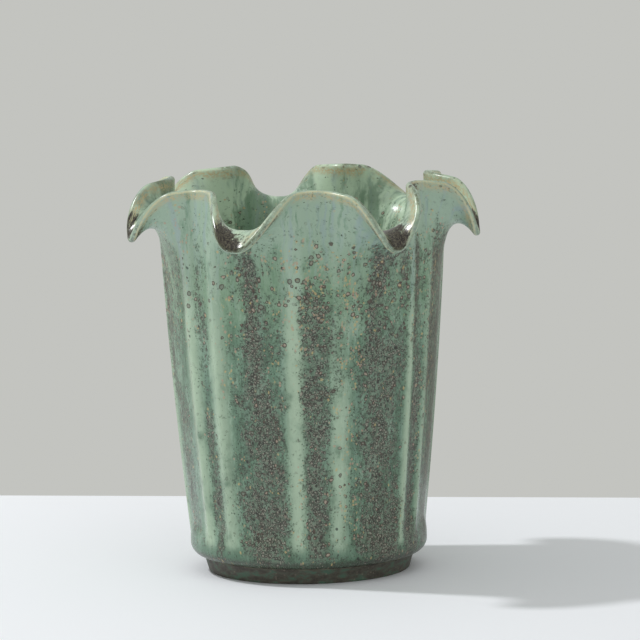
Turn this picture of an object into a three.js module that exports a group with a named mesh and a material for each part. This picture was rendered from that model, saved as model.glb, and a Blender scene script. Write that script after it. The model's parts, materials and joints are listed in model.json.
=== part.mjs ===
// A stoneware vase: a fluted wall whose rim is folded into petals, the bevelled clay disc
// that closes it, and the ring that both stand on. The three are luted together and fired.
// Millimetres, +Z up. The origin is the middle of the foot, on the surface it stands on.
// Angles are in degrees, measured from the front (-Y) towards the right (+X).
import * as THREE from "three";

// Foot ring
const footHeight = 8.4;
const footInset = 8.85; // how far its outside, where it stands, is inside the belt
const footFlare = 2.2; // how much wider it is at its top
const footWidth = 7.4; // from the outside to the bore, where it stands
const footEdgeRadius = 0.9;

// Body, at the crests of the ribs
const footReveal = 0.4; // how far the wall overhangs the foot ring
const shoulderHeight = 6.4;
const beltRadius = 60.25; // the smooth band below the flutes
const beltHeight = 5.2;
const bodyTopHeight = 150; // where the petals begin, above the surface the vase stands on
const bodyTopRadius = 71.45;
const bellySwell = 0.8; // how far the side bows out of a straight taper
const wallThickness = 5;
const rimThickness = 3.6;

// Base disc, dropped in from above onto the foot ring and a bevelled seat in the wall
const discThickness = 6.5;
const discBearing = 2; // how far the disc reaches over the foot ring
const seatClearance = 0.45; // sideways, between the disc and its seat
const seatLip = 1; // the bevel runs this far above the disc

// Petals, and the notches between them
const petalCount = 7;
const firstNotchAngle = -21.3;
const petalRise = 48.2; // from the body's top to the petal's edge
const petalLean = -1.8; // the petal's middle leans in by this much
const lipRise = 22; // the notch's lip, curled out and down
const lipReach = 19.7;
const curlRise = 22; // how high the wall climbs before it curls
const curlCrown = 14.6; // how far the curl's handle lies above the lip
const curlBack = 12.9; // and how far behind it
const petalStretch = 17; // how high the petal follows the body's own line
const petalTuck = 14; // how far below its edge the petal starts to tuck in
const petalTuckOut = 0.8; // and how far outside the edge it does so

// Flutes: a narrow one under each petal and a wide one under each notch
const ribWidth = 3; // degrees from a rib's crest to where its side has dropped
const fluteDepth = 1.3;
const wideHollow = 0.9; // how much further the wide flute is hollowed at its middle
const narrowHollow = 0.3;
const fluteRunOut = 8; // how high above the belt the flutes reach their full depth
const fluteStart = -2; // where they begin, from the belt's top

// The hand-made unevenness, petal by petal and notch by notch, starting at the front
const notchTurn = [0.9, -0.3, 0, 0, 3, 0, 0]; // degrees
const lipPull = [0.6, 0, -4.2, 0, -1.4, 0, -2.4]; // added to the lip's reach
const lipLift = [0.2, -1.4, -1.3, 0, 0, 0, 0];
const petalLift = [0.4, 1.2, 0, 0, 0.6, 0.4, -0.6];

// The same for the two sides of each petal, before and after its middle
const ribAt = [[9, 9.8], [5.7, 6.6], [9, 9], [9, 9], [9, 9], [9, 10.5], [9.4, 6.4]]; // degrees

// How a petal folds down into a notch, as shares of the way from its middle to the notch
const domeShare = 0.2; // the part of the drop that is the petal's own doming
const foldFrom = [[0.25, 0.42], [0.28, 0.42], [0.44, 0.55], [0.2, 0.45], [0, 0.44], [0.28, 0.42], [0.38, 0.22]];
const foldTo = [[1, 0.97], [0.98, 1], [1, 0.97], [0.88, 1], [0.95, 1], [1, 1], [1, 0.92]];
const flareFrom = 0.08;
const flareTo = [[0.86, 0.8], [0.7, 0.84], [0.84, 0.9], [0.86, 0.86], [0.8, 0.86], [0.86, 0.84], [0.82, 0.86]];

// Facets
const innerStations = [0, 0.4, 0.75]; // from a petal's middle to its rib
const outerStations = [0, 0.15, 0.32, 0.48, 0.65, 0.82]; // from the rib to the notch
const turnedSides = 84;
const ruffleRows = [0.16, 0.32, 0.45, 0.56, 0.66, 0.75, 0.84, 0.92, 1];

const footRadius = beltRadius - footInset;
const footTopRadius = footRadius + footFlare;
const footBoreRadius = footRadius - footWidth;
const wallSeatRadius = footTopRadius + footReveal;
const shoulderTop = footHeight + shoulderHeight;
const beltTop = shoulderTop + beltHeight;
const bodyRise = bodyTopHeight - beltTop;
const seatTop = footHeight + discThickness + seatLip;
const seatTopRadius = beltRadius - wallThickness;
const discRadius = footBoreRadius + discBearing;
const seatRadius = discRadius + seatClearance;
const seatSlope = (seatTopRadius - seatRadius) / (seatTop - footHeight);
const rad = THREE.MathUtils.degToRad;
const { lerp, clamp } = THREE.MathUtils;

// A smooth step from 0 to 1 as x goes from low to high, flat at both ends.
function ease(x, low, high) {
  return (1 - Math.cos(Math.PI * clamp((x - low) / (high - low), 0, 1))) / 2;
}

const notchAngles = Array.from(
  { length: petalCount + 1 },
  (_, i) => firstNotchAngle + (360 / petalCount) * i + notchTurn[i % petalCount],
);

// The petal at an angle and the side of it, the notch nearest to the angle, how far the angle is
// from the petal's middle, and how far that notch is.
function petalAt(angle) {
  const a = THREE.MathUtils.euclideanModulo(angle - notchAngles[0], 360) + notchAngles[0];
  let petal = 0;
  while (petal < petalCount - 1 && a >= notchAngles[petal + 1]) petal++;
  const half = (notchAngles[petal + 1] - notchAngles[petal]) / 2;
  const fromMiddle = a - notchAngles[petal] - half;
  const side = fromMiddle > 0 ? 1 : 0;
  return { petal, side, notch: (petal + side) % petalCount, fromMiddle, half };
}

// The body's radius at a rib's crest.
function bodyRadius(z) {
  if (z < shoulderTop) {
    const down = (shoulderTop - z) / shoulderHeight;
    return wallSeatRadius + (beltRadius - wallSeatRadius) * Math.sqrt(Math.max(0, 1 - down * down));
  }
  const s = clamp((z - beltTop) / bodyRise, 0, 1);
  return lerp(beltRadius, bodyTopRadius, s) + 4 * bellySwell * s * (1 - s);
}
const bodyTopSlope = (bodyTopRadius - beltRadius - 4 * bellySwell) / bodyRise;

// How deep the flutes are at an angle: a round rib on each side of a petal, and hollows between ribs.
function fluteDepthAt(angle) {
  const { petal, side, fromMiddle, half } = petalAt(angle);
  const [before, after] = ribAt[petal];
  const bell = (x) => Math.exp(-((x / ribWidth) ** 2));
  const hollow = (x) => Math.cos((Math.PI / 2) * clamp(x, -1, 1)) ** 2;
  const ribs = bell(fromMiddle - after) + bell(fromMiddle + before);
  const narrow = narrowHollow * hollow((fromMiddle - (after - before) / 2) / ((after + before) / 2));
  const wide = wideHollow * hollow((half - Math.abs(fromMiddle)) / (half - ribAt[petal][side]));
  return fluteDepth * (1 - ribs) + narrow + wide;
}

// The two profiles that the rim swings between, from the body's top edge outwards and up.
const petalCurve = new THREE.CubicBezierCurve(
  new THREE.Vector2(0, 0),
  new THREE.Vector2(bodyTopSlope * petalStretch, petalStretch),
  new THREE.Vector2(petalLean + petalTuckOut, petalRise - petalTuck),
  new THREE.Vector2(petalLean, petalRise),
);
const lipCurve = new THREE.CubicBezierCurve(
  new THREE.Vector2(0, 0),
  new THREE.Vector2(bodyTopSlope * curlRise, curlRise),
  new THREE.Vector2(lipReach - curlBack, lipRise + curlCrown),
  new THREE.Vector2(lipReach, lipRise),
);

// A point of the outer surface. The climb is the height up to the body's top,
// and above it the way along the petal, which would stand petalRise high if it were straight.
function outerPoint(angle, climb) {
  const depth = fluteDepthAt(angle);
  let r;
  let z;
  if (climb <= bodyTopHeight) {
    z = climb;
    r = bodyRadius(z) - depth * ease(z, beltTop + fluteStart, beltTop + fluteRunOut);
  } else {
    const t = (climb - bodyTopHeight) / petalRise;
    const { petal, side, notch, fromMiddle, half } = petalAt(angle);
    const u = Math.abs(fromMiddle) / half;
    const flare = ease(u, flareFrom, flareTo[petal][side]);
    const fold = ease(u, foldFrom[petal][side], foldTo[petal][side]);
    const drop = (1 - domeShare) * fold + domeShare * ease(u, 0, 1);
    const standing = petalCurve.getPoint(t);
    const folded = lipCurve.getPoint(t);
    standing.y *= (petalRise + petalLift[petal]) / petalRise;
    folded.x *= (lipReach + lipPull[notch]) / lipReach;
    folded.y *= (lipRise + lipLift[notch]) / lipRise;
    r = bodyTopRadius + lerp(standing.x, folded.x, flare) - depth * ease(1 - t, 0, 1);
    z = bodyTopHeight + lerp(standing.y, folded.y, drop);
  }
  return new THREE.Vector3(r * Math.sin(rad(angle)), -r * Math.cos(rad(angle)), z);
}

// The outer surface's directions at a point: up along the clay, and straight out of it.
function directions(angle, climb) {
  const step = 0.05;
  const up = outerPoint(angle, climb + step).sub(outerPoint(angle, climb - step)).normalize();
  const round = outerPoint(angle + step, climb).sub(outerPoint(angle - step, climb)).normalize();
  return { up, out: round.cross(up).normalize() };
}

function thicknessAt(climb) {
  return lerp(wallThickness, rimThickness, ease(climb, bodyTopHeight, bodyTopHeight + petalRise));
}

// The same distance inside the clay from every outer point.
function innerPoint(angle, climb) {
  const { out } = directions(angle, climb);
  return outerPoint(angle, climb).addScaledVector(out, -thicknessAt(climb));
}

// The rounded edge of the rim: turn 0 is its outer side, 180 its inner side.
function rimPoint(angle, turn) {
  const climb = bodyTopHeight + petalRise;
  const { up, out } = directions(angle, climb);
  const round = thicknessAt(climb) / 2;
  return outerPoint(angle, climb)
    .addScaledVector(out, -round)
    .addScaledVector(out, round * Math.cos(rad(turn)))
    .addScaledVector(up, round * Math.sin(rad(turn)));
}

function turnedPoint(angle, r, z) {
  return new THREE.Vector3(r * Math.sin(rad(angle)), -r * Math.cos(rad(angle)), z);
}

// The angles of the columns: closest together where a petal folds.
function columnAngles() {
  const angles = [];
  for (let i = 0; i < petalCount; i++) {
    const half = (notchAngles[i + 1] - notchAngles[i]) / 2;
    const middle = notchAngles[i] + half;
    const offsets = ribAt[i].map((rib) => [
      ...innerStations.map((s) => s * rib),
      ...outerStations.map((s) => rib + s * (half - rib)),
    ]);
    angles.push(middle - half);
    angles.push(...offsets[0].slice(1).reverse().map((o) => middle - o));
    angles.push(...offsets[1].map((o) => middle + o));
  }
  return angles;
}

// A closed skin over rings of points, each ring joined to the next and the last to the first.
function skinOfRings(rings) {
  const columns = rings[0].length;
  const positions = rings.flat().flatMap((p) => [p.x, p.y, p.z]);
  const index = [];
  for (let i = 0; i < rings.length; i++) {
    const here = i * columns;
    const next = ((i + 1) % rings.length) * columns;
    for (let j = 0; j < columns; j++) {
      const k = (j + 1) % columns;
      index.push(here + j, here + k, next + k, here + j, next + k, next + j);
    }
  }
  const geometry = new THREE.BufferGeometry();
  geometry.setAttribute("position", new THREE.Float32BufferAttribute(positions, 3));
  geometry.setIndex(index);
  geometry.computeVertexNormals();
  return geometry;
}

// The fluted wall, from the foot up the outside, over the rim and down the inside to its seat.
function flutedWall() {
  const angles = columnAngles();
  const ring = (point) => angles.map(point);
  const shoulder = [0, 30, 60, 90].map((turn) => {
    const r = wallSeatRadius + (beltRadius - wallSeatRadius) * Math.sin(rad(turn));
    const z = shoulderTop - shoulderHeight * Math.cos(rad(turn));
    return ring((a) => turnedPoint(a, r, z));
  });
  const fluteTop = beltTop + fluteRunOut;
  const sides = [
    beltTop + fluteStart,
    lerp(beltTop + fluteStart, fluteTop, 0.5),
    fluteTop,
    lerp(fluteTop, bodyTopHeight, 0.35),
    lerp(fluteTop, bodyTopHeight, 0.7),
    bodyTopHeight,
  ];
  const climbs = [...sides, ...ruffleRows.map((t) => bodyTopHeight + t * petalRise)];
  const insideClimbs = climbs.filter((c) => c > seatTop + wallThickness).reverse();
  const rings = [
    ...shoulder,
    ...climbs.map((c) => ring((a) => outerPoint(a, c))),
    ...[45, 90, 135].map((turn) => ring((a) => rimPoint(a, turn))),
    ...insideClimbs.map((c) => ring((a) => innerPoint(a, c))),
    ring((a) => turnedPoint(a, seatTopRadius, seatTop)),
    ring((a) => turnedPoint(a, seatRadius, footHeight)),
  ];
  return skinOfRings(rings);
}

// A turned clay piece: its profile of [radius, height] pairs, closed or ending on the axis.
function turned(profile) {
  const points = profile.map(([r, z]) => new THREE.Vector2(r, z));
  return new THREE.LatheGeometry(points, turnedSides).rotateX(Math.PI / 2);
}

// A bevelled slab, a little clear of its seat in the wall.
function baseDisc() {
  const top = footHeight + discThickness;
  return turned([
    [0, footHeight],
    [discRadius, footHeight],
    [discRadius + discThickness * seatSlope, top],
    [0, top],
  ]);
}

// The foot ring, with the edges that touch the table rounded.
function footRing() {
  const corner = (r, side) =>
    [0, 30, 60, 90].map((turn) => [
      r + side * footEdgeRadius * (1 - Math.cos(rad(turn))),
      footEdgeRadius * (1 - Math.sin(rad(turn))),
    ]);
  const inner = corner(footBoreRadius, 1);
  const outer = corner(footRadius, -1).reverse();
  const profile = [...inner, ...outer, [footTopRadius, footHeight], [footBoreRadius, footHeight]];
  return turned([...profile, profile[0]]);
}

const glazed = new THREE.MeshStandardMaterial({ color: 0x6f8a75, roughness: 0.3, metalness: 0 });
const glazedInside = new THREE.MeshStandardMaterial({ color: 0x7d9478, roughness: 0.3, metalness: 0 });
const bareClay = new THREE.MeshStandardMaterial({ color: 0x4a443b, roughness: 0.8, metalness: 0 });

function piece(name, geometry, material) {
  const mesh = new THREE.Mesh(geometry, material);
  mesh.name = name;
  return mesh;
}

const vase = new THREE.Group();
vase.add(
  piece("fluted_wall", flutedWall(), glazed),
  piece("base_disc", baseDisc(), glazedInside),
  piece("foot_ring", footRing(), bareClay),
);

export default vase;
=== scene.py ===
# The green stoneware vase: a fine glazed skin over the fluted wall and its base, and a
# dark turned foot, on a pale table under a light from the left and a soft fill in front.
# Angles are in degrees from the front (-Y) towards the right (+X), shapes are worked out
# in millimetres and put into the meshes in metres.
import json
import math
import bpy
import numpy as np
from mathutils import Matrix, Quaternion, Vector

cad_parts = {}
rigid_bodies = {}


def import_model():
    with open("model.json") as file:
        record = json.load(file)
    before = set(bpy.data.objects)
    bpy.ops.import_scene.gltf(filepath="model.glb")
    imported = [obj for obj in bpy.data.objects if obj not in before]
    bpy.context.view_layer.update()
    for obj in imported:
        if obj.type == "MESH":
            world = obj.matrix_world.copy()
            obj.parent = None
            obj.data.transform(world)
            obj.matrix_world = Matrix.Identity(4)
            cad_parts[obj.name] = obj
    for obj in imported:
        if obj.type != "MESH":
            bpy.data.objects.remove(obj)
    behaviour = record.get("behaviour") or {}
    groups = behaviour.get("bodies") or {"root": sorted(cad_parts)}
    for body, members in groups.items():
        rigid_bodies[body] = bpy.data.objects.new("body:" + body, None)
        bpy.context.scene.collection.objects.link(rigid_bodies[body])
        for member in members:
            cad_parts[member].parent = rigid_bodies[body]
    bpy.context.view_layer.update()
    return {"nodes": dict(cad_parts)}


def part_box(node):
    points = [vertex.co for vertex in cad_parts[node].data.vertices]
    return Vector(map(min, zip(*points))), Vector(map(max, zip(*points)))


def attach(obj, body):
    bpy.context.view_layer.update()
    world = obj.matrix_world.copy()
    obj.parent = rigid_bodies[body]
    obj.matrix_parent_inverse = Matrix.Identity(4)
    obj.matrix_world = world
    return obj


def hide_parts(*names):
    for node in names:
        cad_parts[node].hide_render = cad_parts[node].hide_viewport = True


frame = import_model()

mm = 0.001
print("frame loaded:", sorted(frame["nodes"]))


# Shared helpers

def ease(x, low, high):
    # half a cosine wave from 0 to 1 as x goes from low to high, flat outside
    return (1 - np.cos(np.pi * np.clip((x - low) / (high - low), 0, 1))) / 2


def bezier(t, points):
    # a cubic curve: the four points weighted by the Bernstein polynomials of t
    bernstein = np.stack([(1 - t) ** 3, 3 * t * (1 - t) ** 2, 3 * t * t * (1 - t), t ** 3], -1)
    return bernstein @ np.array(points, float)


def bellCurve(x, width):
    # e to the minus square of x over width: 1 at the middle and 0.37 at the width to either side
    return np.exp(-(x / width) ** 2)


def nodeTop(node):
    # the height of a CAD node's highest point: metres divided by the metres in a millimetre
    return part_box(node)[1].z / mm


def meshFromGrid(name, points, poles=(None, None), attributes=None):
    # rings of points, each closed on itself and joined to the next; a pole closes an end
    rows, columns = points.shape[:2]
    here = np.arange(rows * columns).reshape(rows, columns)
    right = np.roll(here, -1, axis=1)
    quads = np.stack([here[:-1], right[:-1], right[1:], here[1:]], -1).reshape(-1, 4)
    vertices = points.reshape(-1, 3)
    faces = quads.tolist()
    closed = [(pole, ring) for pole, ring in zip(poles, (0, rows - 1)) if pole is not None]
    for pole, ring in closed:
        vertices = np.vstack([vertices, pole])
        tip = np.full(columns, len(vertices) - 1)
        fan = np.stack([here[ring], right[ring], tip], -1)
        # the first ring's fan is turned over, so that both ends face outwards
        faces += (fan[:, ::-1] if ring == 0 else fan).tolist()
    mesh = bpy.data.meshes.new(name)
    mesh.from_pydata((vertices * mm).tolist(), [], faces)
    for key, values in (attributes or {}).items():
        vector = np.ndim(values) == 3
        layer = mesh.attributes.new(key, "FLOAT_VECTOR" if vector else "FLOAT", "POINT")
        flat = np.reshape(values, (rows, columns, -1))
        # a pole has the middle value of its ring
        tips = [flat[ring].mean(axis=0, keepdims=True) for _, ring in closed]
        flat = np.vstack([flat.reshape(rows * columns, -1), *tips]).astype(np.float32)
        layer.data.foreach_set("vector" if vector else "value", flat.reshape(-1))
    mesh.polygons.foreach_set("use_smooth", np.ones(len(faces), bool))
    mesh.update()
    piece = bpy.data.objects.new(name, mesh)
    bpy.context.scene.collection.objects.link(piece)
    return piece


# The body of the vase, in millimetres and degrees; a list has one value or pair for each notch or petal

footTop = nodeTop("foot_ring")
discTop = nodeTop("base_disc")

body = {
    "seatRadius": 54,
    "shoulderHeight": 6.4,
    "beltRadius": 60.25,
    "beltHeight": 5.2,
    "topHeight": 150,
    "topRadius": 71.45,
    "swell": 0.8,
    "wall": 5,
    "rim": 3.6,
    "floorFillet": 9,
    "filletStretch": 3,
}
rim = {
    "petals": 7,
    "firstNotch": -21.3,
    "notchTurn": [0.9, -0.3, 0, 0, 3, 0, 0],
    "lipPull": [0.6, 0, -4.2, 0, -1.4, 0, -2.4],
    "lipLift": [0.2, -1.4, -1.3, 0, 0, 0, 0],
    "petalLift": [0.4, 1.2, 0, 0, 0.6, 0.4, -0.6],
    "petalRise": 48.2,
    "petalLean": -1.8,
    "petalStretch": 17,
    "petalTuck": 14,
    "petalTuckOut": 0.8,
    "lipRise": 22,
    "lipReach": 19.7,
    "curlRise": 22,
    "curlCrown": 14.6,
    "curlBack": 12.9,
    "domeShare": 0.2,
    "flareFrom": 0.08,
    "flareTo": [
        [0.86, 0.8], [0.7, 0.84], [0.84, 0.9], [0.86, 0.86], [0.8, 0.86], [0.86, 0.84], [0.82, 0.86],
    ],
    "foldFrom": [
        [0.25, 0.42], [0.28, 0.42], [0.44, 0.55], [0.2, 0.45], [0, 0.44], [0.28, 0.42], [0.38, 0.22],
    ],
    "foldTo": [[1, 0.97], [0.98, 1], [1, 0.97], [0.88, 1], [0.95, 1], [1, 1], [1, 0.92]],
    "overrun": 0.01,
}
flutes = {
    "ribAt": [[9, 9.8], [5.7, 6.6], [9, 9], [9, 9], [9, 9], [9, 10.5], [9.4, 6.4]],
    "ribWidth": 3,
    "depth": 1.3,
    "wideHollow": 0.9,
    "narrowHollow": 0.3,
    "start": -2,
    "runOut": 8,
}
density = {
    "undersideRings": (20, 40, 52),
    "columnsPerPetal": 56,
    "shoulderRows": 12,
    "fluteRows": 12,
    "sideRows": 62,
    "petalRows": 58,
    "edgeRows": 11,
    "insidePetalRows": 40,
    "insideSideRows": 26,
    "floorRows": 10,
    "floorRings": (36, 24, 12),
}

shoulderTop = footTop + body["shoulderHeight"]
beltTop = shoulderTop + body["beltHeight"]
bodyRise = body["topHeight"] - beltTop
# the slope at the top is the taper's less that of the swell, a parabola that is swell high at mid-height
topSlope = (body["topRadius"] - body["beltRadius"] - 4 * body["swell"]) / bodyRise
climbTop = body["topHeight"] + rim["petalRise"]

notchAngles = rim["firstNotch"] + np.arange(rim["petals"] + 1) * 360 / rim["petals"]
notchAngles = notchAngles + np.array(rim["notchTurn"] + rim["notchTurn"][:1])


def petalAt(angle):
    # the petal that an angle falls in, 0 before or 1 after its middle, how many degrees from it, and
    # half the petal's own width
    wrapped = (angle - notchAngles[0]) % 360 + notchAngles[0]
    index = np.clip(np.searchsorted(notchAngles, wrapped, side="right") - 1, 0, rim["petals"] - 1)
    half = (notchAngles[index + 1] - notchAngles[index]) / 2
    fromMiddle = wrapped - notchAngles[index] - half
    side = (fromMiddle > 0).astype(int)
    return index, side, fromMiddle, half


def fluteDepth(angle):
    # a bell-shaped rib on each side of a petal, and between ribs a hollow with a cosine-squared section
    index, side, fromMiddle, half = petalAt(angle)
    before, after = np.moveaxis(np.array(flutes["ribAt"])[index], -1, 0)
    width = flutes["ribWidth"]
    ribs = bellCurve(fromMiddle - after, width) + bellCurve(fromMiddle + before, width)
    across = np.clip((fromMiddle - (after - before) / 2) / ((after + before) / 2), -1, 1)
    narrow = flutes["narrowHollow"] * np.cos(np.pi / 2 * across) ** 2
    rib = np.where(side, after, before)
    outside = np.clip((half - np.abs(fromMiddle)) / (half - rib), 0, 1)
    wide = flutes["wideHollow"] * np.cos(np.pi / 2 * outside) ** 2
    return flutes["depth"] * (1 - ribs) + narrow + wide


def sideRadius(climb, depth):
    # a quarter ellipse at the shoulder, then a straight taper with a parabola's swell, and from the
    # belt up the flutes' depth taken off by a cosine step
    down = np.clip((shoulderTop - climb) / body["shoulderHeight"], 0, 1)
    shoulder = body["seatRadius"] + (body["beltRadius"] - body["seatRadius"]) * np.sqrt(1 - down ** 2)
    share = np.clip((climb - beltTop) / bodyRise, 0, 1)
    taper = body["beltRadius"] + (body["topRadius"] - body["beltRadius"]) * share
    wall = np.where(climb < shoulderTop, shoulder, taper + 4 * body["swell"] * share * (1 - share))
    return wall - depth * ease(climb, beltTop + flutes["start"], beltTop + flutes["runOut"])


def petalOffset(angle, t):
    # the reach outwards and the height above the body's top at t along the rise: a blend of a petal's
    # and a lip's curve, where reach and drop each go from petal to lip by their own cosine step
    index, side, fromMiddle, half = petalAt(angle)
    u = np.abs(fromMiddle) / half
    # each side of a petal has its own start and end for the reach and for the fold
    flare = ease(u, rim["flareFrom"], np.array(rim["flareTo"])[index, side])
    fold = ease(u, np.array(rim["foldFrom"])[index, side], np.array(rim["foldTo"])[index, side])
    drop = (1 - rim["domeShare"]) * fold + rim["domeShare"] * ease(u, 0, 1)
    petal = bezier(t, [
        (0, 0),
        (topSlope * rim["petalStretch"], rim["petalStretch"]),
        (rim["petalLean"] + rim["petalTuckOut"], rim["petalRise"] - rim["petalTuck"]),
        (rim["petalLean"], rim["petalRise"]),
    ])
    lip = bezier(t, [
        (0, 0),
        (topSlope * rim["curlRise"], rim["curlRise"]),
        (rim["lipReach"] - rim["curlBack"], rim["lipRise"] + rim["curlCrown"]),
        (rim["lipReach"], rim["lipRise"]),
    ])
    lift = 1 + np.array(rim["petalLift"])[index] / rim["petalRise"]
    notch = (index + side) % rim["petals"]
    pull = 1 + np.array(rim["lipPull"])[notch] / rim["lipReach"]
    hang = 1 + np.array(rim["lipLift"])[notch] / rim["lipRise"]
    out = petal[..., 0] * (1 - flare) + lip[..., 0] * pull * flare
    up = petal[..., 1] * lift * (1 - drop) + lip[..., 1] * hang * drop
    return out, up


def outerSurface(angle, climb):
    # the side up to the body's top and the petals above it, turned from radius and angle into x and y
    depth = fluteDepth(angle)
    along = (climb - body["topHeight"]) / rim["petalRise"]
    t = np.clip(along, -rim["overrun"], 1 + rim["overrun"])
    out, up = petalOffset(angle, t)
    petalRadius = body["topRadius"] + out - depth * ease(1 - t, 0, 1)
    above = climb > body["topHeight"]
    r = np.where(above, petalRadius, sideRadius(climb, depth))
    z = np.where(above, body["topHeight"] + up, climb)
    a = np.radians(angle)
    return np.stack([r * np.sin(a), -r * np.cos(a), z], -1)


def surfaceDirections(angle, climb):
    # differences of the outer surface along and round it, and their cross product outwards
    step = 0.05
    up = outerSurface(angle, climb + step) - outerSurface(angle, climb - step)
    along = outerSurface(angle + step, climb) - outerSurface(angle - step, climb)
    up = up / np.linalg.norm(up, axis=-1, keepdims=True)
    out = np.cross(along, up)
    return up, out / np.linalg.norm(out, axis=-1, keepdims=True)


def thicknessAt(climb):
    # the wall's thickness up to the body's top, then a cosine step to the rim's
    return body["wall"] + (body["rim"] - body["wall"]) * ease(climb, body["topHeight"], climbTop)


def columnAngles():
    # evenly spaced angles from each notch to the next, as many in every petal
    perPetal = density["columnsPerPetal"]
    share = np.arange(perPetal) / perPetal
    starts = notchAngles[:-1, None]
    return (starts + (notchAngles[1:, None] - starts) * share).reshape(-1)


glazeFields = {
    "ribBreadth": [[4.4, 4.6], [2.2, 2.4], [3, 3], [3, 3], [3, 3], [3, 4], [4.5, 4.6]],
    "ribStrength": [[1, 0.8], [1, 0.6], [0.8, 0.8], [0.9, 0.9], [0.9, 0.9], [0.9, 0.9], [1, 0.9]],
    "ribSharpness": 2.5,
    "ribClimb": (13.5, 20.5),
    "poolOver": (2.5, 5),
    "drumRadius": 66,
    "narrowWithin": 50,
    "insideShift": 300,
    "patchSharpness": 2.4,
    "patchSoftness": 8,
    # each row is a patch: middle and half width in degrees, lowest and highest climb in mm, strength
    "ironStrips": [
        (-22.5, 4.4, 92, 168, 0.85), (-16, 10, 60, 150, 0.12), (-20.5, 12, 14, 104, 0.78),
        (-16, 7, 12, 46, 0.8), (-28, 6, 12, 44, 0.5), (3.8, 6.6, 12, 82, 0.85),
        (4.5, 7.2, 76, 152, 0.74), (-1, 3, 84, 150, 0.6), (13, 4, 90, 165, 0.3),
        (31.5, 5, 112, 172, 0.8), (39, 8, 92, 164, 0.5), (35, 11.5, 16, 122, 0.75), (40, 12, 10, 48, 0.85),
        (46, 4, 100, 170, 0.4), (56, 4, 12, 112, 0.85), (52.5, 3.2, 112, 172, 0.85), (61, 6, 10, 28, 0.8),
        (48, 18, 0, 9, 0.9), (68, 7, 90, 176, 0.7), (77, 9, 16, 132, 0.85), (80, 7, 124, 176, 0.6),
        (-47.5, 4.8, 120, 164, 0.32), (-47.5, 4.4, 12, 92, 0.7), (-62, 4, 118, 166, 0.2),
        (-85, 7, 90, 170, 0.75), (-74, 7, 20, 96, 0.55), (107, 8, 20, 134, 0.66), (133, 12, 20, 144, 0.75),
        (160, 8, 20, 124, 0.6), (187, 13, 25, 154, 0.78), (211, 7, 20, 114, 0.55), (236, 12, 20, 144, 0.75),
        (261, 7, 20, 124, 0.55),
    ],
    "fleckPatches": [
        (2, 14, 118, 172, 0.75), (19, 6, 20, 170, 0.85), (-12, 4, 90, 165, 0.55), (-34, 5, 96, 168, 0.4),
        (33, 12, 130, 175, 0.35), (-60, 12, 120, 196, 0.3), (64, 10, 60, 188, 0.5), (-3, 4, 18, 60, 0.35),
        (110, 30, 60, 180, 0.35), (187, 60, 60, 180, 0.35),
    ],
    "pools": [
        (-26.5, 5.6, 187, 214, 1), (-19.5, 5, 192, 214, 0.6), (30.5, 7.5, 182, 214, 0.95),
        (-75, 6, 193, 214, 0.9), (84, 6, 194, 214, 0.8),
        (133, 9, 190, 206, 0.7), (187, 10, 190, 206, 0.7), (236, 9, 190, 206, 0.7),
    ],
    "ribGaps": [(16.5, 4, 105, 172, 0.6)],
    # painted shade: dark patches on the inner walls that the light misses
    "insideShade": [
        (201, 11, 150, 190, 0.9), (195, 5, 160, 192, 0.8), (145, 7, 184, 214, 0.5), (157, 6, 150, 186, 0.15),
        (268, 14, 186, 214, 0.55), (60, 12, 150, 190, 0.5), (-40, 10, 150, 190, 0.5),
    ],
    # painted light: pale patches on the inner walls where the light falls
    "insideLight": [
        (220, 4, 160, 214, 0.8), (215, 4, 150, 188, 0.5), (169, 5, 160, 214, 1), (110, 8, 165, 214, 0.5),
    ],
    "scorches": [
        (50, 6, 180, 206, 0.9), (-12, 5, 186, 206, 0.6), (-70, 5, 190, 206, 0.7), (24, 4, 190, 206, 0.5),
        (84, 5, 190, 206, 0.7), (190, 12, 186, 206, 0.5),
    ],
}


def patches(angle, climb, name):
    # each patch is a bell across its middle with a cosine step at its lower and upper end, and what
    # all of them leave bare is the product of what each leaves bare
    soft = glazeFields["patchSoftness"]
    bare = np.ones_like(climb)
    for middle, half, low, high, strength in glazeFields[name]:
        away = (angle - middle + 180) % 360 - 180
        across = np.exp(-np.abs(away / half) ** glazeFields["patchSharpness"])
        below = ease(climb, low - soft, low + soft)
        bare *= 1 - strength * across * below * ease(-climb, -high - soft, soft - high)
    return 1 - bare


def ribGlow(angle):
    # the pale ribs, partly the glaze breaking pale on them and partly a painted highlight: a flat-topped
    # bell on each, some broader, some fainter
    index, side, fromMiddle, _ = petalAt(angle)
    away = np.abs(fromMiddle) - np.array(flutes["ribAt"])[index, side]
    breadth = np.array(glazeFields["ribBreadth"])[index, side]
    bell = np.exp(-np.abs(away / breadth) ** glazeFields["ribSharpness"])
    return np.array(glazeFields["ribStrength"])[index, side] * bell


def glazeAttributes(grid, angle, climb, inside, over):
    # what the glaze reads at each point; its pattern is laid out on a drum of one radius, which
    # narrows in proportion to the vase's own radius only on the floor and the underside
    radius = np.hypot(grid[..., 0], grid[..., 1])
    spread = glazeFields["drumRadius"] * np.minimum(radius / glazeFields["narrowWithin"], 1)
    ribs = ribGlow(angle) * (1 - patches(angle, climb, "ribGaps"))
    return {
        "climb": climb,
        "inside": inside,
        "over": over,
        "ridge": ribs * ease(climb, *glazeFields["ribClimb"]),
        # painted light less painted shade on the inner walls
        "innerRunsLightShade": patches(angle, climb, "insideLight") - patches(angle, climb, "insideShade"),
        "iron": (1 - inside) * patches(angle, climb, "ironStrips"),
        "flecks": patches(angle, climb, "fleckPatches"),
        "pool": ease(over, *glazeFields["poolOver"]) * patches(angle, climb, "pools"),
        "scorch": (1 - inside) * patches(angle, climb, "scorches"),
        "glazeAt": np.stack([
            spread * np.sin(np.radians(angle)),
            -spread * np.cos(np.radians(angle)),
            climb + glazeFields["insideShift"] * np.round(inside),
        ], -1),
    }


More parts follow.
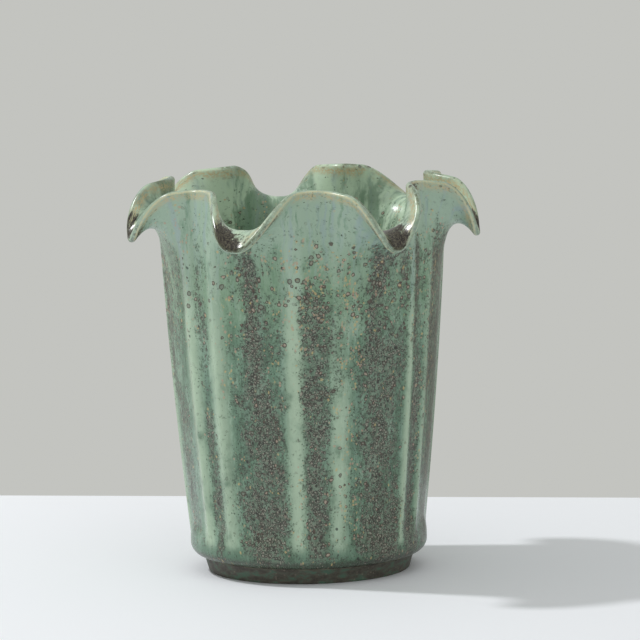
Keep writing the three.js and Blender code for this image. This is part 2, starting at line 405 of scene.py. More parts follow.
def turnedRing(angles, r, z):
    # a ring of points at each angle, with one radius or one for each, at one height
    a = np.radians(angles)
    return np.stack([r * np.sin(a), -r * np.cos(a), np.full_like(a, z)], -1)


def makeVaseBody():
    # from the underside's pole out, up the outside, round the rim's edge and down the inside
    angles = columnAngles()
    rings, climbs, insides, overs = [], [], [], []

    def add(points, climb, inside, over):
        # over is the way along the clay from the outer arris, in over the edge and down the inside
        rings.append(points)
        climbs.append(np.full(len(angles), float(climb)))
        insides.append(np.full(len(angles), float(inside)))
        overs.append(np.full(len(angles), float(over)))

    for r in (*density["undersideRings"], body["seatRadius"]):
        add(turnedRing(angles, r, footTop), footTop, 0, footTop - climbTop)
    turns = np.linspace(0, np.pi / 2, density["shoulderRows"])[1:]
    outerClimbs = [shoulderTop - body["shoulderHeight"] * math.cos(t) for t in turns]
    fluteTop = beltTop + flutes["runOut"]
    outerClimbs += list(np.linspace(shoulderTop, fluteTop, density["fluteRows"])[1:])
    outerClimbs += list(np.linspace(fluteTop, body["topHeight"], density["sideRows"])[1:])
    outerClimbs += list(np.linspace(body["topHeight"], climbTop, density["petalRows"])[1:])
    for climb in outerClimbs:
        add(outerSurface(angles, np.full_like(angles, climb)), climb, 0, climb - climbTop)

    top = np.full_like(angles, climbTop)
    up, out = surfaceDirections(angles, top)
    crown = outerSurface(angles, top)
    half = body["rim"] / 2
    for turn in np.linspace(0, np.pi, density["edgeRows"] + 2)[1:-1]:
        ring = crown + out * half * (math.cos(turn) - 1) + up * half * math.sin(turn)
        add(ring, climbTop + half * math.sin(turn), (1 - math.cos(turn)) / 2, half * turn)

    insideLow = discTop + body["floorFillet"] + body["filletStretch"]
    insideClimbs = list(np.linspace(climbTop, body["topHeight"], density["insidePetalRows"]))
    insideClimbs += list(np.linspace(body["topHeight"], insideLow, density["insideSideRows"])[1:])
    for climb in insideClimbs:
        here = np.full_like(angles, climb)
        _, out = surfaceDirections(angles, here)
        ring = outerSurface(angles, here) - out * thicknessAt(climb)
        add(ring, climb, 1, half * math.pi + climbTop - climb)

    lowestRadius = np.hypot(rings[-1][:, 0], rings[-1][:, 1])
    floorRadius = body["beltRadius"] - body["wall"]
    for turn in np.linspace(0, np.pi / 2, density["floorRows"])[1:]:
        r = lowestRadius - body["floorFillet"] * (1 - math.cos(turn)) * lowestRadius / floorRadius
        z = discTop + (insideLow - discTop) * (1 - math.sin(turn))
        add(turnedRing(angles, r, z), z, 1, climbTop - z)
    for r in density["floorRings"]:
        add(turnedRing(angles, r, discTop), discTop, 1, climbTop - discTop)

    grid, climb, inside, over = (np.array(v) for v in (rings, climbs, insides, overs))
    angle = np.broadcast_to(angles, climb.shape)
    poles = (np.array([[0, 0, footTop]]), np.array([[0, 0, discTop]]))
    return meshFromGrid("glazedBody", grid, poles, glazeAttributes(grid, angle, climb, inside, over))


vaseBody = makeVaseBody()
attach(vaseBody, "root")
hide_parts("fluted_wall", "base_disc")
print("body:", len(vaseBody.data.polygons), "faces")


# The foot

foot = {
    "radius": 51.4,
    "flare": 2.2,
    "width": 7.4,
    "edge": 0.9,
    "sides": 180,
    "edgePoints": 6,
    "sidePoints": 8,
}


def makeFootRing():
    # one closed profile turned round the axis: bore, rounded edges, a slightly flaring side
    a = np.linspace(0, np.pi / 2, foot["edgePoints"])
    bore = foot["radius"] - foot["width"]
    edge = foot["edge"]
    inner = np.stack([bore + edge * (1 - np.cos(a)), edge * (1 - np.sin(a))], -1)
    outer = np.stack([foot["radius"] - edge * (1 - np.cos(a)), edge * (1 - np.sin(a))], -1)[::-1]
    heights = np.linspace(edge, footTop, foot["sidePoints"])[1:]
    side = np.stack([foot["radius"] + foot["flare"] * (heights - edge) / (footTop - edge), heights], -1)
    profile = np.vstack([inner, outer, side, [[bore, footTop]], inner[:1]])
    turn = np.linspace(0, 2 * np.pi, foot["sides"], endpoint=False)
    r = profile[:, None, 0]
    grid = np.stack([
        r * np.sin(turn),
        -r * np.cos(turn),
        np.broadcast_to(profile[:, None, 1], (len(profile), len(turn))),
    ], -1)
    return meshFromGrid("turnedFoot", grid)


footRing = makeFootRing()
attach(footRing, "root")
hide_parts("foot_ring")
print("foot:", len(footRing.data.polygons), "faces")


# Materials

# the share of full light that the front gets, and the brightest paint allowed
frontLight = 0.8
brightest = 0.9


def shade(red, green, blue):
    # the paint colour that looks like this sRGB colour under the front light: the display's curve is
    # undone, and the result is divided by the light and held below the brightest paint
    display = np.array([red, green, blue]) / 255
    linear = np.where(display < 0.0405, display / 12.92, ((display + 0.055) / 1.055) ** 2.4)
    return tuple(np.minimum(linear / frontLight, brightest)) + (1,)


class Paint:
    # the nodes of one material; a method that adds a node gives back its output

    def __init__(self, name):
        # a new material with its own surface shader
        self.material = bpy.data.materials.new(name)
        self.material.use_nodes = True
        self.nodes = self.material.node_tree.nodes
        self.links = self.material.node_tree.links
        self.surface = self.nodes["Principled BSDF"]

    def feed(self, socket, value):
        # a link where the value is another node's output, and else the socket's own number or colour
        if isinstance(value, bpy.types.NodeSocket):
            self.links.new(value, socket)
        else:
            socket.default_value = value

    def attribute(self, name, output="Fac"):
        # what the mesh says at each point under this name
        node = self.nodes.new("ShaderNodeAttribute")
        node.attribute_name = name
        return node.outputs[output]

    def compute(self, operation, *values):
        # one arithmetic step on its values
        node = self.nodes.new("ShaderNodeMath")
        node.operation = operation
        for socket, value in zip(node.inputs, values):
            self.feed(socket, value)
        return node.outputs[0]

    def total(self, first, *others):
        # the sum of all the values
        for other in others:
            first = self.compute("ADD", first, other)
        return first

    def product(self, first, *others):
        # the product of all the values
        for other in others:
            first = self.compute("MULTIPLY", first, other)
        return first

    def step(self, value, low, high):
        # a smooth step from 0 at low to 1 at high, or downwards where low is the greater number
        node = self.nodes.new("ShaderNodeMapRange")
        node.interpolation_type = "SMOOTHSTEP"
        ends = (high, low, 1, 0) if low > high else (low, high, 0, 1)
        for socket, end in zip(node.inputs[1:5], ends):
            self.feed(socket, end)
        self.feed(node.inputs[0], value)
        return node.outputs[0]

    def bell(self, value, width):
        # e to the minus square of value over width: 1 at 0, 0.37 at the width and 0.02 at twice that
        return self.compute("POWER", math.e, self.product(value, value, -1 / width ** 2))

    def mix(self, factor, first, second):
        # the first colour at a factor of 0, the second at 1
        node = self.nodes.new("ShaderNodeMix")
        node.data_type = "RGBA"
        for socket, value in ((node.inputs[0], factor), (node.inputs[6], first), (node.inputs[7], second)):
            self.feed(socket, value)
        return node.outputs[2]

    def stretched(self, vector, wide, tall, shift=(0, 0, 0)):
        # the place divided by a patch's width and height, then shifted
        node = self.nodes.new("ShaderNodeMapping")
        self.feed(node.inputs["Vector"], vector)
        node.inputs["Location"].default_value = shift
        node.inputs["Scale"].default_value = (1 / wide, 1 / wide, 1 / tall)
        return node.outputs[0]

    def shaken(self, vector, size, reach):
        # the place plus the reach times a noise with features of this size, which is 0 to 1 on each axis
        spot = self.stretched(vector, size, size)
        node = self.nodes.new("ShaderNodeVectorMath")
        node.operation = "MULTIPLY_ADD"
        self.links.new(self.noise(spot, detail=2, roughness=0.6, output=1), node.inputs[0])
        node.inputs[1].default_value = (reach, reach, reach)
        self.links.new(vector, node.inputs[2])
        return node.outputs[0]

    def noise(self, vector, detail, roughness, output=0):
        # octaves of noise added up, each weaker by the roughness; output 0 is a value and 1 a colour
        node = self.nodes.new("ShaderNodeTexNoise")
        self.feed(node.inputs["Vector"], vector)
        node.inputs["Scale"].default_value = 1
        node.inputs["Detail"].default_value = detail
        node.inputs["Roughness"].default_value = roughness
        return node.outputs[output]

    def cells(self, vector):
        # the distance to the nearest cell's middle, and two random numbers for that cell
        node = self.nodes.new("ShaderNodeTexVoronoi")
        self.feed(node.inputs["Vector"], vector)
        node.inputs["Scale"].default_value = 1
        parts = self.nodes.new("ShaderNodeSeparateColor")
        self.links.new(node.outputs["Color"], parts.inputs[0])
        return node.outputs["Distance"], parts.outputs[0], parts.outputs[1]

    def ramp(self, value, *stops):
        # a colour between those of the stops on both sides of the value
        node = self.nodes.new("ShaderNodeValToRGB")
        self.feed(node.inputs[0], value)
        elements = node.color_ramp.elements
        for place, color in stops[1:-1]:
            elements.new(place).color = color
        elements[0].position, elements[0].color = stops[0]
        elements[-1].position, elements[-1].color = stops[-1]
        return node.outputs[0]

    def bump(self, height, distance, strength, normal=None):
        # the surface's direction, tilted by the slope of the height, and on top of an earlier tilt
        node = self.nodes.new("ShaderNodeBump")
        self.feed(node.inputs["Height"], height)
        node.inputs["Distance"].default_value = distance
        node.inputs["Strength"].default_value = strength
        if normal is not None:
            self.links.new(normal, node.inputs["Normal"])
        return node.outputs[0]


# The speckled glaze, with sizes and places in millimetres

glaze = {
    "deepGreen": shade(76, 104, 84),
    "green": shade(106, 136, 115),
    "pale": shade(144, 166, 148),
    "blue": shade(138, 157, 158),
    "leaf": shade(106, 136, 104),
    # the ribs' pale green, partly the glaze's own break and partly painted highlight
    "ridge": shade(160, 180, 156),
    # the pale green of the inner runs, lightened as painted light on the inner walls
    "inside": shade(176, 197, 172),
    # the dark green of painted shade deep inside and on the shaded inner flanks
    "insideDeepShade": shade(78, 106, 80),
    "ironWash": shade(110, 118, 104),
    "ironDark": shade(30, 30, 25),
    "ironBrown": shade(62, 54, 48),
    "ironHeart": shade(150, 145, 132),
    "moss": shade(54, 68, 52),
    "hem": shade(58, 58, 50),
    "ringRim": shade(66, 52, 43),
    "ringHeart": shade(152, 137, 122),
    "ochre": shade(176, 156, 108),
    "pink": shade(168, 142, 122),
    "speck": shade(34, 40, 34),
    "cream": shade(192, 186, 150),
    "tan": shade(176, 161, 124),
    "crown": shade(76, 80, 58),
    "spot": shade(44, 32, 26),
    "pool": shade(28, 23, 20),
    "poolLight": shade(88, 84, 70),
}
# each row: width and height of a patch, the shift that sets it apart, the noise's detail and roughness
patterns = {
    "fine": (1.2, 11, (0, 0, 0), 4, 0.65),
    "broad": (6, 45, (9, 0, 0), 2, 0.5),
    "blotch": (10, 16, (0, 7, 0), 4, 0.6),
    "grain": (0.8, 1, (0, 0, 0), 3, 0.7),
    "petalRun": (2.6, 34, (0, 0, 61), 3, 0.5),
    "blueRun": (3, 40, (0, 0, 31), 3, 0.5),
    "innerRunsLightShade": (5, 26, (0, 21, 0), 4, 0.6),
    "cluster": (4.5, 7, (5, 5, 0), 6, 0.75),
    "drift": (14, 26, (0, 15, 5), 2, 0.5),
    "stain": (2, 2.4, (0, 9, 0), 4, 0.65),
    "fleckDrift": (3.5, 6, (0, 3, 9), 3, 0.5),
    "mottle": (4, 3.5, (0, 0, 3), 5, 0.75),
    "rimRun": (8, 8, (0, 0, 5), 3, 0.5),
    "peel": (3, 4, (0, 0, 0), 3, 0.5),
}
# where each step starts and where it is done; the first five are climbs
edges = {
    "upper": (110, 175), "petal": (158, 190), "insideDeepShade": (205, 168), "lowGreen": (21, 14),
    "hem": (13.6, 10.8), "blueRun": (0.48, 0.68), "ribBlotch": (0.15, 0.5), "ribUpper": (1.3, 0),
    "leafOffRib": (0.9, 0.3), "insideLight": (0.34, 0.64), "insideShade": (0.46, 0.32),
    "thickIron": (0.15, 1.1), "nearIron": (-0.3, 0.5), "stain": (0.58, 0.74), "dot": (0.56, 0.3),
    "paleDot": (0.58, 0.62), "ring": (0.66, 0.46), "ringHeart": (0.4, 0.2), "disc": (0.52, 0.44),
    "discHeart": (0.38, 0.28), "paleHeart": (0.3, 0.5), "besideIron": (0.8, 0.1),
    "fleckDrift": (0.46, 0.62), "fleck": (0.6, 0.25), "pinkFleck": (0.45, 0.55), "pool": (0.4, 0.7),
    "offPool": (1, 0.2), "brokenGrain": (0.3, 0.5), "fringeGrain": (0.36, 0.58),
    "fringeRun": (0.25, 0.5), "crownRun": (0.62, 0.4), "arrisRun": (0.2, 0.5), "scorch": (0.3, 0.6),
    "spot": (0.5, 0.36), "rareSpot": (0.3, 0.28),
}
# how much of what lies under it each layer hides
covers = {
    "ridge": 0.9, "leaf": 0.55, "insideLight": 0.85, "insideShade": 0.5, "lowGreen": 0.65,
    "nearIron": 0.3, "thickIron": 0.75, "hem": 0.8, "stain": 0.6, "dot": 0.75, "ring": 0.85,
    "disc": 0.85, "fleck": 0.7, "speck": 0.8, "fringe": 0.8, "crown": 0.85, "scorch": 0.9,
    "arris": 0.75,
}
# how far each layer stands up, as a share of relief["markHeight"]
raised = {"iron": 0.3, "dot": 0.3, "ring": 0.4, "disc": 0.5, "rimGrain": 1.2}
# heights in metres, and how strongly their slopes tilt the surface
relief = {"markHeight": 0.0001, "markStrength": 0.5, "peelHeight": 0.0006, "peelStrength": 0.25}
# what each pattern adds to the green's tone, and what is added to them all
tones = {
    "fine": 0.36, "broad": 0.3, "blotch": 0.4, "grain": 0.1, "upper": 0.14, "inside": 0.02,
    "rim": 0.07, "petal": 0.6, "all": -0.085,
}
toneStops = (0.41, 0.52, 0.64)
poolStops = (0.42, 0.66)
# what each adds to the load of iron
loads = {"cluster": 2.6, "drift": 1.1, "ridge": -0.6, "petal": -0.35, "all": -1.86}
# what each adds to the glaze's roughness
roughnesses = {"all": 0.2, "iron": 0.16, "blotch": 0.12, "pool": -0.06}
# each row: a cell's width and height, and the shift that sets it apart
cellSizes = {
    "dots": (0.95, 1, (0, 9, 0)),
    "flecks": (1.4, 1.7, (3, 0, 0)),
    "rimSpots": (3, 3, (0, 0, 23)),
}
# each row: a cell's size, the share of cells that hold a ring in thick iron, the shift
packedRings = ((1.2, 0.75, 0), (1.7, 0.6, 13))
# each row: a cell's size, the share of cells that hold a ring, how much more in the band, the shift
bigRings = ((2.3, 0.12, 0.15, 47), (3.2, 0.06, 0.55, 83))
# each row: a cell's size, the share that hold a speck, the distances where it is gone and full
specks = ((3.2, 0.35, 0.14, 0.08), (9, 0.35, 0.13, 0.07))
speckShift = 71
speckSoftness = 0.02
# each row: how far along the clay from the outer arris a mark lies, and the width of its bell
rimMarks = {
    "glow": (0, 14),
    "outerFringe": (1.4, 2),
    "innerFringe": (5.6, 2.8),
    "crown": (3.6, 1.3),
    "scorch": (0, 4),
    "arris": (1.2, 0.6),
    "spots": (2.5, 3.5),
    "grain": (0, 6),
}
leafBand = {"middle": 150, "width": 22}
# feature size and reach of the noise that moves every pattern, and of the one that moves marks again
shakes = {"patterns": (14, 5), "marks": (1.2, 0.9)}
# how much one thing counts for another, and the numbers added to such sums
weights = {
    "petalMiddle": -0.47, "blueAtTop": 0.6, "blueAnywhere": 0.1, "innerRunsLightShade": 0.2,
    "innerDepth": -0.12, "stainByIron": 0.14, "dotByIron": 0.7, "dotHeart": 0.8, "ringHeart": 0.75,
    "crowdByFlecks": 0.7, "discUnevenness": 0.1, "flecksByIron": 0.3, "flecks": 0.9,
    "poolMottle": 2.2, "pool": -1.05, "outerSway": 5, "innerSway": -4, "innerFringe": 1.2,
    "scorchGrain": 1.6, "scorch": -0.8, "spotGrain": 0.4,
}
# how softly cells are chosen by their random number
cellSoftness = {"small": 0.03, "big": 0.02}


class Glaze(Paint):
    # the glaze laid layer by layer: each method lays one kind of mark over self.color, and some
    # raise self.height

    def __init__(self):
        # the mesh's attributes and the patterns that more than one layer reads
        super().__init__("speckledGlaze")
        self.climb = self.attribute("climb")
        self.inside = self.attribute("inside")
        self.over = self.attribute("over")
        self.ridge = self.attribute("ridge")
        self.flecks = self.attribute("flecks")
        self.at = self.shaken(self.attribute("glazeAt", "Vector"), *shakes["patterns"])
        self.shakenAt = self.shaken(self.at, *shakes["marks"])
        self.upper = self.past(self.climb, "upper")
        self.petal = self.past(self.climb, "petal")
        self.band = self.bell(self.total(self.climb, -leafBand["middle"]), leafBand["width"])
        self.blotch = self.pattern("blotch")
        self.grain = self.pattern("grain")

    def pattern(self, name, at=None):
        # one of the named noises, at the shaken place unless another is given
        wide, tall, shift, detail, roughness = patterns[name]
        place = self.at if at is None else at
        return self.noise(self.stretched(place, wide, tall, shift), detail, roughness)

    def past(self, value, name):
        # the named step of the value
        return self.step(value, *edges[name])

    def lay(self, name, color, *masks):
        # the colour hides what is there by the layer's cover times all its masks
        self.color = self.mix(self.product(*masks, covers[name]), self.color, color)

    def lift(self, name, *masks):
        # the layer's share of the relief times its masks is added to the height
        self.height = self.total(self.height, self.product(*masks, raised[name]))

    def cellsAt(self, wide, tall, shift):
        # cells of this width and height at the twice shaken place
        return self.cells(self.stretched(self.shakenAt, wide, tall, shift))

    def chosen(self, share, chance, name):
        # 1 in the cells whose random number is under the share, with a narrow smooth step
        soft = cellSoftness[name]
        return self.step(self.total(share, self.product(chance, -1)), -soft, soft)

    def rimBell(self, name, *sway):
        # a bell round the mark's place along the rim, moved by what sways it
        place, width = rimMarks[name]
        return self.bell(self.total(self.over, *sway, -place), width)

    def layGround(self):
        # fine and broad streaks run down over soft blotches, and over them lie bluish streaks, pale ribs
        # that are partly the glaze's own break and partly painted highlight, and a leaf-green band
        petalRun = self.total(self.pattern("petalRun"), weights["petalMiddle"])
        parts = {
            "fine": self.pattern("fine"),
            "broad": self.pattern("broad"),
            "blotch": self.blotch,
            "grain": self.grain,
            "upper": self.upper,
            "inside": self.inside,
            "rim": self.rimBell("glow"),
            "petal": self.product(self.petal, petalRun),
        }
        terms = [self.product(value, tones[name]) for name, value in parts.items()]
        tone = self.total(*terms, tones["all"])
        colors = (glaze["deepGreen"], glaze["green"], glaze["pale"])
        self.color = self.ramp(tone, *zip(toneStops, colors))
        blueShare = self.total(self.product(self.upper, weights["blueAtTop"]), weights["blueAnywhere"])
        blue = self.product(self.past(self.pattern("blueRun"), "blueRun"), blueShare)
        self.color = self.mix(blue, self.color, glaze["blue"])
        # the pale ribs: the glaze breaking pale on them, with a painted highlight
        thinAndHighlit = (self.ridge, self.past(self.blotch, "ribBlotch"), self.past(self.upper, "ribUpper"))
        self.lay("ridge", glaze["ridge"], *thinAndHighlit)
        self.lay("leaf", glaze["leaf"], self.band, self.past(self.ridge, "leafOffRib"))

    def layInside(self):
        # inside the petals the glaze ran in green streaks, made pale as painted light and dark as painted
        # shade, with more painted shade low down
        paintedLightShade = self.product(self.attribute("innerRunsLightShade"), weights["innerRunsLightShade"])
        runsLightShade = self.total(self.pattern("innerRunsLightShade"), paintedLightShade)
        deeperShade = self.product(self.past(self.climb, "insideDeepShade"), weights["innerDepth"])
        self.lay("insideLight", glaze["inside"], self.inside, self.past(runsLightShade, "insideLight"))
        dark = self.past(self.total(runsLightShade, deeperShade), "insideShade")
        self.lay("insideShade", glaze["insideDeepShade"], self.inside, dark)

    def layIron(self):
        # low down the glaze is deep green, iron colours it where clusters crowd, and a broken dark
        # edge lies over both; the load is a weighted sum of strips, clusters, drift, ribs and petals
        self.lay("lowGreen", glaze["deepGreen"], self.past(self.climb, "lowGreen"))
        load = self.total(
            self.attribute("iron"),
            self.product(self.pattern("cluster"), loads["cluster"]),
            self.product(self.pattern("drift"), loads["drift"]),
            self.product(self.ridge, loads["ridge"]),
            self.product(self.petal, loads["petal"]),
            loads["all"])
        self.thick = self.past(load, "thickIron")
        self.near = self.past(load, "nearIron")
        self.lay("nearIron", glaze["deepGreen"], self.near)
        self.lay("thickIron", glaze["ironWash"], self.thick)
        self.height = self.product(self.thick, raised["iron"])
        self.lay("hem", glaze["hem"], self.past(self.climb, "hem"), self.past(self.grain, "brokenGrain"))

    def layStainsAndDots(self):
        # mossy stains of no clear shape, and small dark dots that reach beyond the clusters
        crowding = self.product(self.near, weights["stainByIron"])
        stain = self.total(self.pattern("stain", self.shakenAt), crowding)
        self.lay("stain", glaze["moss"], self.past(stain, "stain"))
        distance, chance, kind = self.cellsAt(*cellSizes["dots"])
        chosen = self.chosen(self.product(self.near, weights["dotByIron"]), chance, "small")
        dot = self.product(chosen, self.past(distance, "dot"))
        darkDot = self.mix(self.thick, glaze["moss"], glaze["ironDark"])
        paleDot = self.product(self.past(kind, "paleDot"), self.thick, weights["dotHeart"])
        self.lay("dot", self.mix(paleDot, darkDot, glaze["ironHeart"]), dot)
        self.lift("dot", dot)

    def layPackedRings(self):
        # rings packed side by side, their rims dark and their hearts greyish
        for size, share, shift in packedRings:
            distance, chance, kind = self.cellsAt(size, size, (0, 0, shift))
            chosen = self.chosen(self.product(self.thick, share), chance, "small")
            ring = self.product(chosen, self.past(distance, "ring"))
            heart = self.past(distance, "ringHeart")
            ringColor = self.mix(kind, glaze["ironDark"], glaze["ironBrown"])
            paleness = self.product(kind, weights["ringHeart"])
            heartColor = self.mix(paleness, glaze["ironWash"], glaze["ironHeart"])
            self.lay("ring", self.mix(heart, ringColor, heartColor), ring)
            self.lift("ring", ring)

    def layBigRings(self):
        # bigger rings with a pale heart in the clusters and fleck patches, most of them in the leaf band
        crowd = self.compute("MAXIMUM", self.near, self.product(self.flecks, weights["crowdByFlecks"]))
        uneven = weights["discUnevenness"]
        for size, share, bandShare, shift in bigRings:
            distance, chance, kind = self.cellsAt(size, size, (0, 0, shift))
            many = self.product(crowd, self.total(self.product(self.band, bandShare), share))
            away = self.total(distance, self.product(kind, uneven), self.product(self.grain, uneven))
            disc = self.product(self.chosen(many, chance, "big"), self.past(away, "disc"))
            heart = self.past(away, "discHeart")
            heartColor = self.mix(self.past(kind, "paleHeart"), glaze["ironWash"], glaze["ringHeart"])
            self.lay("disc", self.mix(heart, glaze["ringRim"], heartColor), disc)
            self.lift("disc", disc)

    def layFlecks(self):
        # ochre and pink flecks beside the clusters and in patches of their own
        beside = self.product(self.near, self.past(self.thick, "besideIron"), weights["flecksByIron"])
        around = self.compute("MAXIMUM", beside, self.flecks)
        patchy = self.past(self.pattern("fleckDrift"), "fleckDrift")
        distance, chance, kind = self.cellsAt(*cellSizes["flecks"])
        chosen = self.chosen(self.product(around, patchy, weights["flecks"]), chance, "big")
        fleckColor = self.mix(self.past(kind, "pinkFleck"), glaze["ochre"], glaze["pink"])
        self.lay("fleck", fleckColor, self.product(chosen, self.past(distance, "fleck")))

    def laySpecks(self):
        # dark specks, a few of them big
        for size, share, outer, inner in specks:
            distance, chance, _ = self.cellsAt(size, size, (0, 0, speckShift))
            chosen = self.step(chance, share, share - speckSoftness)
            speck = self.product(chosen, self.step(distance, outer, inner))
            self.lay("speck", glaze["speck"], speck)

    def layPools(self):
        # the dark pools in the lips' troughs, with paler grains in them and ragged edges
        mottle = self.product(self.pattern("mottle"), weights["poolMottle"])
        ragged = self.total(self.attribute("pool"), mottle, weights["pool"])
        self.pooled = self.past(ragged, "pool")
        poolColor = self.ramp(self.grain, *zip(poolStops, (glaze["pool"], glaze["poolLight"])))
        self.color = self.mix(self.pooled, self.color, poolColor)

    def layRim(self):
        # tan grains on both sides of the edge, a darker crown, brown scorches, a pale arris and spots
        run = self.pattern("rimRun")
        broken = self.past(self.grain, "brokenGrain")
        outerFringe = self.rimBell("outerFringe", self.product(run, weights["outerSway"]))
        innerBell = self.rimBell("innerFringe", self.product(run, weights["innerSway"]))
        innerFringe = self.product(innerBell, self.past(self.pooled, "offPool"), weights["innerFringe"])
        fringe = self.total(outerFringe, innerFringe)
        fringeGrain = self.past(self.grain, "fringeGrain")
        self.lay("fringe", glaze["tan"], fringe, fringeGrain, self.past(run, "fringeRun"))
        self.lay("crown", glaze["crown"], self.rimBell("crown"), self.past(run, "crownRun"), broken)
        speckled = self.product(self.grain, weights["scorchGrain"])
        scorched = self.total(self.attribute("scorch"), speckled, weights["scorch"])
        self.lay("scorch", glaze["spot"], self.past(scorched, "scorch"), self.rimBell("scorch"))
        self.lay("arris", glaze["cream"], self.rimBell("arris"), broken, self.past(run, "arrisRun"))
        distance, chance, _ = self.cellsAt(*cellSizes["rimSpots"])
        away = self.total(distance, self.product(self.grain, weights["spotGrain"]))
        rare = self.past(chance, "rareSpot")
        spot = self.product(self.past(away, "spot"), rare, self.rimBell("spots"))
        self.color = self.mix(spot, self.color, glaze["spot"])

    def finish(self):
        # colour, roughness and relief go to the surface shader: marks over the glaze's slow waves
        roughness = self.total(
            roughnesses["all"],
            self.product(self.thick, roughnesses["iron"]),
            self.product(self.blotch, roughnesses["blotch"]),
            self.product(self.pooled, roughnesses["pool"]))
        self.feed(self.surface.inputs["Base Color"], self.color)
        self.feed(self.surface.inputs["Roughness"], roughness)
        self.lift("rimGrain", self.grain, self.rimBell("grain"))
        waves = self.bump(self.pattern("peel"), relief["peelHeight"], relief["peelStrength"])
        marks = self.bump(self.height, relief["markHeight"], relief["markStrength"], waves)
        self.links.new(marks, self.surface.inputs["Normal"])


def speckledGlaze():
    # the layers in the order in which they hide each other
    paint = Glaze()
    paint.layGround()
    paint.layInside()
    paint.layIron()
    paint.layStainsAndDots()
    paint.layPackedRings()
    paint.layBigRings()
    paint.layFlecks()
    paint.laySpecks()
    paint.layPools()
    paint.layRim()
    paint.finish()
    return paint.material


# The foot's clay, with sizes in metres

clay = {
    "wash": shade(56, 52, 45),
    "brown": shade(70, 69, 59),
    "green": shade(64, 90, 74),
    "grain": shade(86, 78, 66),
    "darkFleck": shade(40, 34, 30),
    "paleFleck": shade(122, 112, 98),
    "seam": shade(106, 96, 80),
    "stops": (0.4, 0.5, 0.6),
    "patchSize": (0.007, 0.003),
    "grainSize": (0.0012, 0.0009),
    "grainStep": (0.5, 0.62),
    "grainCover": 0.45,
    "fleckSize": (0.0014, 0.0014),
    "fleckChance": (0.22, 0.18),
    "fleckEdge": (0.45, 0.25),
    "fleckCover": 0.6,
    "seamDrop": 0.0006,
    "seamWidth": 0.0004,
    "seamBreak": (0.46, 0.54),
    "seamCover": 0.5,
    "roughness": 0.6,
    "relief": (0.0003, 0.4),
}


def footClay():
    # dark clay under a thin wash, greenish in patches, with a light broken seam at its top
    paint = Paint("footClay")
    at = paint.nodes.new("ShaderNodeTexCoord").outputs["Object"]
    parts = paint.nodes.new("ShaderNodeSeparateXYZ")
    paint.links.new(at, parts.inputs[0])
    patch = paint.noise(paint.stretched(at, *clay["patchSize"]), detail=4, roughness=0.6)
    grain = paint.noise(paint.stretched(at, *clay["grainSize"]), detail=3, roughness=0.7)
    color = paint.ramp(patch, *zip(clay["stops"], (clay["wash"], clay["brown"], clay["green"])))
    grains = paint.product(paint.step(grain, *clay["grainStep"]), clay["grainCover"])
    color = paint.mix(grains, color, clay["grain"])
    distance, chance, kind = paint.cells(paint.stretched(at, *clay["fleckSize"]))
    fleck = paint.product(
        paint.step(chance, *clay["fleckChance"]), paint.step(distance, *clay["fleckEdge"]))
    fleckColor = paint.mix(kind, clay["darkFleck"], clay["paleFleck"])
    color = paint.mix(paint.product(fleck, clay["fleckCover"]), color, fleckColor)
    fromSeam = paint.compute("SUBTRACT", parts.outputs[2], footTop * mm - clay["seamDrop"])
    broken = paint.step(patch, *clay["seamBreak"])
    seam = paint.product(paint.bell(fromSeam, clay["seamWidth"]), broken, clay["seamCover"])
    color = paint.mix(seam, color, clay["seam"])
    paint.feed(paint.surface.inputs["Base Color"], color)
    paint.surface.inputs["Roughness"].default_value = clay["roughness"]
    paint.links.new(paint.bump(grain, *clay["relief"]), paint.surface.inputs["Normal"])
    return paint.material


vaseBody.data.materials.append(speckledGlaze())
footRing.data.materials.append(footClay())
print("materials made")


# Table, card, light and camera, in metres and degrees, the lens and its sensor in millimetres

tableTop = {
    "farEdge": 0.218,
    "turn": -7.6,
    "halfWidth": 4,
    "depth": 5,
    "color": (0.885, 0.905, 0.955, 1),
    "roughness": 0.7,
}
card = {
    "place": (0.8, 1.25),
    "turn": 32,
    "width": 0.95,
    "low": -0.4,
    "high": 0.6,
    "color": (0.38, 0.38, 0.36, 1),
    "roughness": 0.9,
}


def addPlate(name, corners, paintName, color, roughness):
    # a four-cornered plate in one plain paint
    mesh = bpy.data.meshes.new(name)
    mesh.from_pydata([tuple(c) for c in corners], [], [(0, 1, 2, 3)])
    plate = bpy.data.objects.new(name, mesh)
    bpy.context.scene.collection.objects.link(plate)
    paint = Paint(paintName)
    paint.surface.inputs["Base Color"].default_value = color
    paint.surface.inputs["Roughness"].default_value = roughness
    mesh.materials.append(paint.material)
    return plate


def makeTable():
    # one big rectangle whose far edge lies farEdge behind the vase, turned a little
    turn = math.radians(tableTop["turn"])
    along = np.array([math.cos(turn), math.sin(turn), 0]) * tableTop["halfWidth"]
    near = np.array([math.sin(turn), -math.cos(turn), 0]) * tableTop["depth"]
    edge = np.array([0, tableTop["farEdge"], 0])
    corners = [edge - along, edge - along + near, edge + along + near, edge + along]
    table = addPlate("table", corners, "palePaintedTable", tableTop["color"], tableTop["roughness"])


def makeDarkCard():
    # a grey card that the camera doesn't see stands behind the vase on its right, and its reflection
    # draws that edge of the glaze
    turn = math.radians(card["turn"])
    half = np.array([math.cos(turn), -math.sin(turn)]) * card["width"] / 2
    left, right = card["place"] - half, card["place"] + half
    low, high = card["low"], card["high"]
    corners = [(*left, low), (*right, low), (*right, high), (*left, high)]
    piece = addPlate("darkCard", corners, "darkCard", card["color"], card["roughness"])
    piece.visible_camera = False


makeTable()
makeDarkCard()

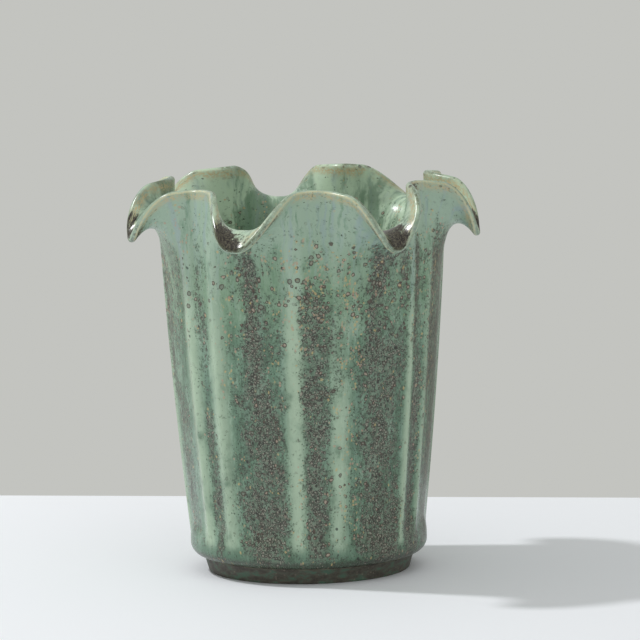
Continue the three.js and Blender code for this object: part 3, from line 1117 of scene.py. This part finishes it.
surroundings = {
    "color": (0.53, 0.535, 0.51, 1),
    "strength": 1.03,
}
world = bpy.data.worlds.new("greyRoom")
bpy.context.scene.world = world
world.use_nodes = True
room = world.node_tree.nodes["Background"]
room.inputs["Color"].default_value = surroundings["color"]
room.inputs["Strength"].default_value = surroundings["strength"]

aimHeight = 0.1
lights = {
    "windowLeft": {
        "power": 30, "size": 0.16, "elevation": 52,
        "azimuth": -102, "distance": 2.5, "color": (1, 1, 1),
    },
    "frontFill": {
        "power": 12, "size": 3, "elevation": 48,
        "azimuth": 12, "distance": 3.2, "color": (0.97, 0.98, 1),
    },
}


def addLight(name, light):
    # a disc light that looks at the middle of the vase, from an elevation and an azimuth round it
    data = bpy.data.lights.new(name, "AREA")
    data.shape = "DISK"
    data.size = light["size"]
    data.energy = light["power"]
    data.color = light["color"]
    lamp = bpy.data.objects.new(name, data)
    e, a = math.radians(light["elevation"]), math.radians(light["azimuth"])
    direction = np.array([math.cos(e) * math.sin(a), -math.cos(e) * math.cos(a), math.sin(e)])
    lamp.location = np.array([0, 0, aimHeight]) + direction * light["distance"]
    lamp.rotation_euler = (math.pi / 2 - e, 0, a)
    bpy.context.scene.collection.objects.link(lamp)


for name, light in lights.items():
    addLight(name, light)

camera = {
    "distance": 2.65,
    "height": 0.475,
    "aside": 0.0077,
    "tilt": 7.486,
    "roll": -1.05,
    "lens": 296.1,
    "sensor": 36,
    "farthest": 50,
}
lensData = bpy.data.cameras.new("photoCamera")
lensData.lens = camera["lens"]
lensData.sensor_width = camera["sensor"]
lensData.clip_end = camera["farthest"]
photoCamera = bpy.data.objects.new("photoCamera", lensData)
bpy.context.scene.collection.objects.link(photoCamera)
photoCamera.location = (camera["aside"], -camera["distance"], camera["height"])
tilt = math.radians(90 - camera["tilt"])
roll = math.radians(camera["roll"])
# turned about its own line of sight first, then tilted down
photoCamera.rotation_mode = "QUATERNION"
photoCamera.rotation_quaternion = Quaternion((1, 0, 0), tilt) @ Quaternion((0, 0, 1), roll)
bpy.context.scene.camera = photoCamera
bpy.context.scene.view_settings.view_transform = "Standard"
print("stage, light and camera set")
